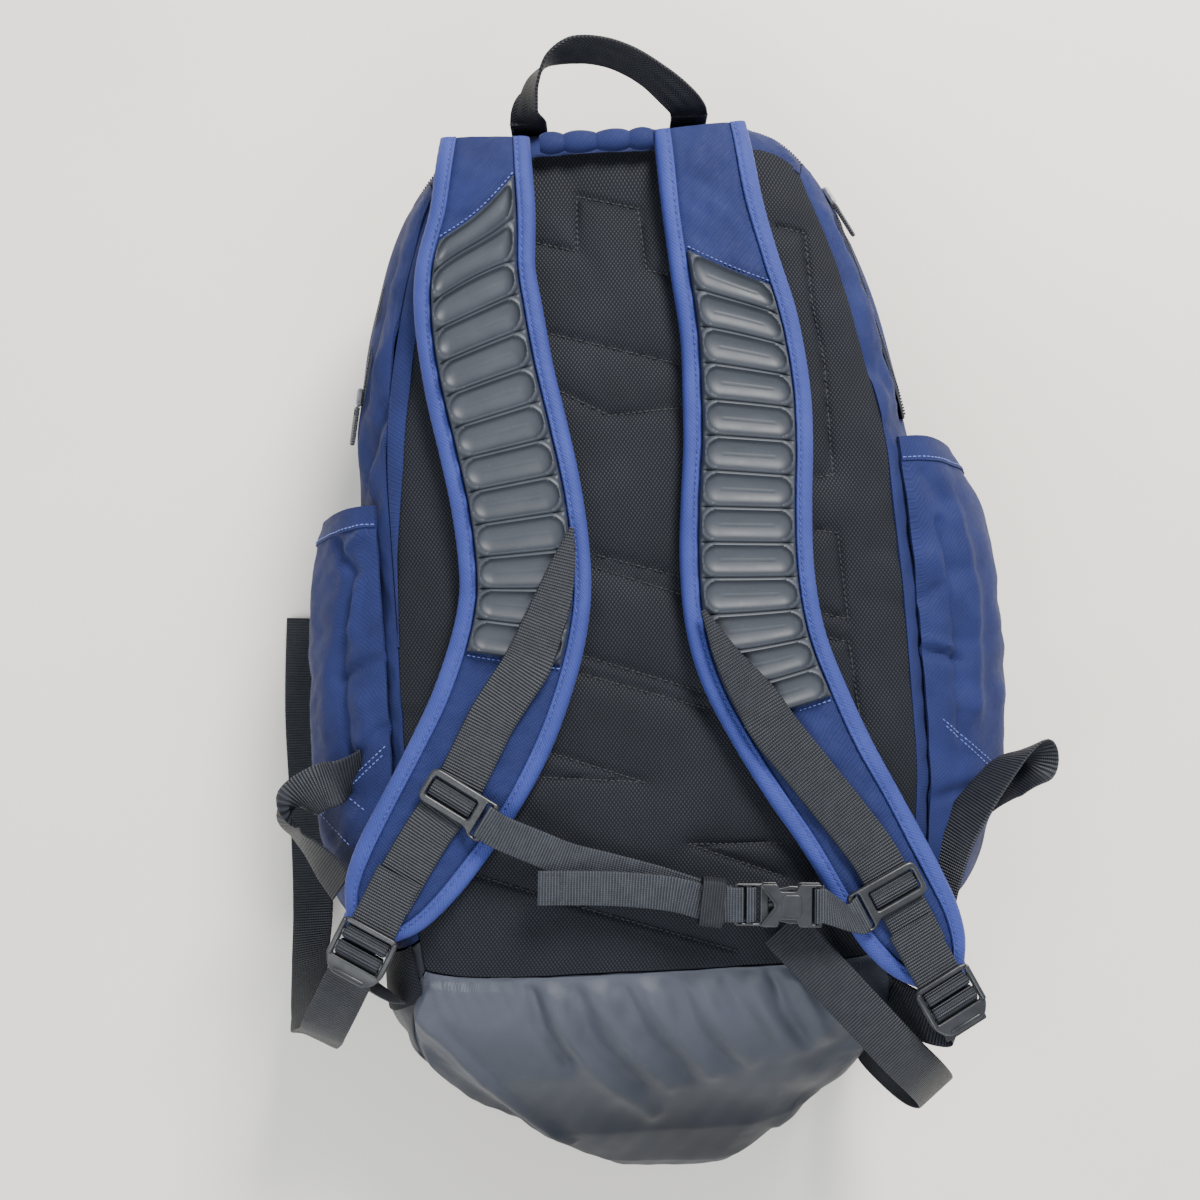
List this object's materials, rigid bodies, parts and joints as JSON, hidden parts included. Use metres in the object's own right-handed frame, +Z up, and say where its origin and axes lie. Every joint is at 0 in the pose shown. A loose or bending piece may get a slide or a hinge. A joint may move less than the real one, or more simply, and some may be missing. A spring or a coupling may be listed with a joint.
{
  "type": "solar backpack",
  "caption": "Daypack lying on its front with a padded harness, sternum buckle, side pockets and a flexible solar panel sewn to the front.",
  "frame": {"origin": "centre of the flat solar frame's underside, on the surface that the pack lies on", "axes": "+Z up from that surface towards the back panel and straps, +Y along the pack to the grab handle, +X to the right seen from the harness side"},
  "size_m": [0.4448, 0.6437, 0.2011],
  "materials": {
    "navy": "matte woven nylon",
    "binding": "ribbed binding tape",
    "mesh": "quilted spacer mesh",
    "boot": "coated, satin",
    "pods": "moulded foam, satin",
    "webbing": "ribbed webbing",
    "plastic": "moulded, gloss",
    "sheet": "matte",
    "cells": "laminated cells, gloss",
    "steel": "satin"
  },
  "bodies": {
    "pack": {"back_panel": "mesh", "frame_sheet": "sheet", "laptop_sleeve": "navy", "front_panel": "navy", "top_panel": "navy", "bottom_boot": "boot", "left_side_panel": "navy", "right_side_panel": "navy", "left_boot_side": "boot", "right_boot_side": "boot", "left_pocket": "navy", "right_pocket": "navy", "left_gusset": "mesh", "right_gusset": "mesh", "top_edge_roll": "navy", "main_zip_tape": "webbing", "left_adjuster": "webbing", "right_adjuster": "webbing", "right_adjuster_tail": "webbing", "left_compression_strap": "webbing", "right_compression_strap": "webbing", "solar_frame": "webbing", "solar_laminate_upper": "cells", "solar_laminate_lower": "cells", "junction_box": "plastic", "power_bank": "plastic", "charge_lead": "webbing", "usb_port": "plastic"},
    "handle": {"grab_handle": "webbing"},
    "left_strap": {"left_strap_foam": "navy", "left_strap_binding": "binding", "left_strap_pods": "pods", "left_rail": "webbing", "left_lock_loop": "webbing"},
    "right_strap": {"right_strap_foam": "navy", "right_strap_binding": "binding", "right_strap_pods": "pods", "right_rail": "webbing", "right_lock_loop": "webbing"},
    "left_slide": {"left_slider": "plastic", "left_slider_wrap": "webbing"},
    "right_slide": {"right_slider": "plastic", "right_slider_wrap": "webbing"},
    "sternum": {"sternum_webbing": "webbing", "sternum_tail": "webbing", "elastic_keeper": "webbing", "buckle_plug": "plastic"},
    "arm_upper": {"release_arm_upper": "plastic"},
    "arm_lower": {"release_arm_lower": "plastic"},
    "socket": {"buckle_socket": "plastic", "sternum_link": "webbing"},
    "left_lock": {"left_ladder_lock": "plastic"},
    "right_lock": {"right_ladder_lock": "plastic"},
    "left_zip": {"left_zip_slider": "steel"},
    "left_pull": {"left_zip_pull": "webbing"},
    "right_zip": {"right_zip_slider": "steel"},
    "right_pull": {"right_zip_pull": "webbing"},
    "usb_flap": {"usb_cover": "plastic"}
  },
  "joints": [
    {"name": "handle_lift", "type": "hinge", "parent": "pack", "child": "handle", "pos_m": [0, 0.2585, 0.147], "axis": [1, 0, 0], "range_deg": [-30, 40]},
    {"name": "left_strap_swing", "type": "hinge", "parent": "pack", "child": "left_strap", "pos_m": [-0.098, 0.24, 0.161], "axis": [-0.1632, -0.9866, 0.0049], "range_deg": [0, 60], "deforming": ["left_adjuster", "sternum_link"]},
    {"name": "right_strap_swing", "type": "hinge", "parent": "pack", "child": "right_strap", "pos_m": [0.168, -0.2, 0.161], "axis": [-0.1982, 0.9802, -0.0022], "range_deg": [0, 60], "deforming": ["right_adjuster", "sternum_link"]},
    {"name": "left_slider_travel", "type": "slide", "parent": "left_strap", "child": "left_slide", "axis": [0.5547, 0.8296, 0.064], "range_m": [0, 0.014], "deforming": ["sternum_link"]},
    {"name": "right_slider_travel", "type": "slide", "parent": "right_strap", "child": "right_slide", "axis": [-0.423, 0.903, 0.075], "range_m": [0, 0.015], "deforming": ["sternum_link"]},
    {"name": "sternum_swing", "type": "hinge", "parent": "left_slide", "child": "sternum", "pos_m": [-0.0846, -0.11209, 0.18965], "axis": [-0.5547, -0.8296, -0.064], "range_deg": [0, 110], "deforming": ["sternum_link"]},
    {"name": "release_arm_upper_squeeze", "type": "hinge", "parent": "sternum", "child": "arm_upper", "pos_m": [0.05988, -0.15368, 0.1936], "axis": [0, 0, -1], "range_deg": [0, 7], "stiffness_Nm_per_rad": 0.05},
    {"name": "release_arm_lower_squeeze", "type": "hinge", "parent": "sternum", "child": "arm_lower", "pos_m": [0.05904, -0.16766, 0.1936], "axis": [0, 0, -1], "range_deg": [-7, 0], "stiffness_Nm_per_rad": 0.05},
    {"name": "buckle_release", "type": "slide", "parent": "sternum", "child": "socket", "axis": [0.9982, -0.06, 0], "range_m": [0, 0.012], "deforming": ["sternum_link"]},
    {"name": "left_lock_tilt", "type": "hinge", "parent": "left_strap", "child": "left_lock", "pos_m": [-0.1516, -0.17175, 0.18127], "axis": [-0.8614, 0.4973, -0.1031], "range_deg": [0, 30], "deforming": ["left_adjuster", "left_lock_loop"]},
    {"name": "right_lock_tilt", "type": "hinge", "parent": "right_strap", "child": "right_lock", "pos_m": [0.1498, -0.21265, 0.17995], "axis": [-0.8832, -0.4571, 0.105], "range_deg": [0, 30], "deforming": ["right_adjuster", "right_lock_loop"]},
    {"name": "left_zip_travel", "type": "slide", "parent": "pack", "child": "left_zip", "axis": [0.178, 0.984, -0.009], "range_m": [-0.008, 0.008]},
    {"name": "left_pull_swing", "type": "hinge", "parent": "left_zip", "child": "left_pull", "pos_m": [-0.1496, 0.11226, 0.12621], "axis": [-0.3299, 0.051, -0.9426], "range_deg": [0, 90]},
    {"name": "right_zip_travel", "type": "slide", "parent": "pack", "child": "right_zip", "axis": [-0.4669, 0.8819, -0.065], "range_m": [-0.008, 0.008]},
    {"name": "right_pull_swing", "type": "hinge", "parent": "right_zip", "child": "right_pull", "pos_m": [0.12117, 0.21203, 0.12429], "axis": [-0.3289, -0.104, 0.9386], "range_deg": [0, 90]},
    {"name": "usb_cover_lift", "type": "hinge", "parent": "pack", "child": "usb_flap", "pos_m": [0.15147, 0.13268, 0.0669], "axis": [0.2861, -0.9582, -0.002], "range_deg": [0, 95]}
  ],
  "couplings": [
    {"joint": "release_arm_lower_squeeze", "follows": "release_arm_upper_squeeze", "ratio": -1}
  ]
}
